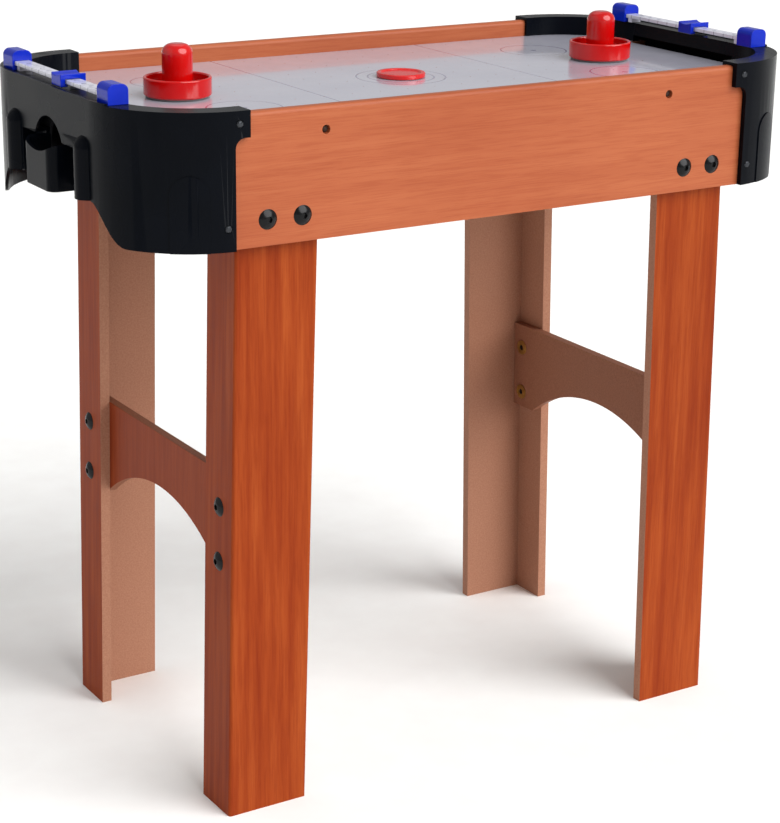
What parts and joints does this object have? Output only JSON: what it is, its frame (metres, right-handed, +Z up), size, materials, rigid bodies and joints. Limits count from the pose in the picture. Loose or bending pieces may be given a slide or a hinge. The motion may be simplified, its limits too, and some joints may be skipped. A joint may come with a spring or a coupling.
{
  "type": "air hockey table",
  "caption": "Free-standing air hockey table with board sides and legs, moulded rounded end caps with goals, a fan-fed drilled play surface, sliding scorers, pushers and a puck.",
  "frame": {"origin": "on the floor under the centre of the table", "axes": "+X along the play, goal to goal, towards the right-hand goal; +Y across the table, from its front side to its rear side; +Z up"},
  "size_m": [0.754, 0.3692, 0.6888],
  "materials": {
    "panel_foil": "printed orange-brown wood-grain foil, satin, grain along the table",
    "leg_foil": "printed orange-brown wood-grain foil, satin, grain running up the leg",
    "stretcher_foil": "printed orange-brown wood-grain foil, satin, grain across the table",
    "play_surface": "pale lavender-white printed film on board, gloss, with drilled air holes",
    "cap_moulding": "black injection-moulded plastic, satin",
    "goal_box": "dark grey moulded plastic, matt",
    "bolt_black": "black-oxide steel, satin",
    "nut_zinc": "yellow zinc plate, satin",
    "screw_bronze": "dark bronzed steel, satin",
    "screw_black": "black phosphated steel, satin",
    "screw_zinc": "bright zinc plate",
    "raw_batten": "planed softwood, bare",
    "floor_hardboard": "pressed hardboard, smooth side down",
    "fan_plastic": "black glass-filled plastic, matt",
    "rotor_plastic": "black moulded plastic, satin",
    "winding_copper": "varnished copper winding on a steel core",
    "guard_wire": "bright plated wire",
    "switch_housing": "black moulded plastic, finely sparked",
    "switch_rocker": "translucent red plastic, gloss",
    "inlet_plastic": "black moulded plastic, gloss",
    "lead_sheath": "red flexible sheath, satin",
    "clip_plastic": "white nylon",
    "rail_plastic": "white plastic with a printed scale, gloss",
    "scorer_blue": "royal blue plastic, gloss",
    "pusher_red": "red plastic, gloss",
    "felt_grey": "pressed grey felt",
    "puck_red": "red plastic, gloss"
  },
  "bodies": {
    "table": {"side_panel_front": "panel_foil", "side_panel_rear": "panel_foil", "play_board": "play_surface", "end_cap_left": "cap_moulding", "end_cap_right": "cap_moulding", "goal_box_left": "goal_box", "goal_box_right": "goal_box", "leg_front_left": "leg_foil", "leg_front_right": "leg_foil", "leg_rear_left": "leg_foil", "leg_rear_right": "leg_foil", "stretcher_left": "stretcher_foil", "stretcher_right": "stretcher_foil", "leg_bolts": "bolt_black", "leg_nuts": "nut_zinc", "stretcher_bolts": "bolt_black", "stretcher_nuts": "nut_zinc", "side_screws": "screw_bronze", "cap_screws": "screw_black", "batten_front": "raw_batten", "batten_rear": "raw_batten", "batten_left": "raw_batten", "batten_right": "raw_batten", "air_box_floor": "floor_hardboard", "floor_screws": "screw_zinc", "fan_frame": "fan_plastic", "fan_guard": "guard_wire", "fan_motor": "winding_copper", "fan_screws": "screw_zinc", "switch_box": "switch_housing", "power_inlet": "inlet_plastic", "fan_lead": "lead_sheath", "lead_clips": "clip_plastic", "score_rail_left": "rail_plastic", "score_rail_right": "rail_plastic", "score_posts_left": "scorer_blue", "score_posts_right": "scorer_blue", "score_screws": "screw_zinc"},
    "score_slider_left": {"score_slider_left": "scorer_blue"},
    "score_slider_right": {"score_slider_right": "scorer_blue"},
    "pusher_left": {"pusher_left": "pusher_red", "pusher_felt_left": "felt_grey"},
    "pusher_right": {"pusher_right": "pusher_red", "pusher_felt_right": "felt_grey"},
    "puck": {"puck": "puck_red"},
    "fan_rotor": {"fan_rotor": "rotor_plastic"},
    "power_switch": {"power_switch": "switch_rocker"}
  },
  "joints": [
    {"name": "score_left_slide", "type": "slide", "parent": "table", "child": "score_slider_left", "axis": [0, 1, 0], "range_m": [-0.06, 0.084]},
    {"name": "score_right_slide", "type": "slide", "parent": "table", "child": "score_slider_right", "axis": [0, 1, 0], "range_m": [-0.06, 0.084]},
    {"name": "pusher_left_glide", "type": "slide", "parent": "table", "child": "pusher_left", "axis": [1, 0, 0], "range_m": [-0.07, 0.18]},
    {"name": "pusher_right_glide", "type": "slide", "parent": "table", "child": "pusher_right", "axis": [-1, 0, 0], "range_m": [-0.07, 0.18]},
    {"name": "puck_glide", "type": "slide", "parent": "table", "child": "puck", "axis": [0, 1, 0], "range_m": [-0.14, 0.14]},
    {"name": "fan_spin", "type": "hinge", "parent": "table", "child": "fan_rotor", "pos_m": [0, 0, 0.585], "axis": [0, 0, 1], "continuous": true},
    {"name": "switch_rock", "type": "hinge", "parent": "table", "child": "power_switch", "pos_m": [0.11, 0, 0.58], "axis": [0, 1, 0], "range_deg": [0, 18]}
  ]
}
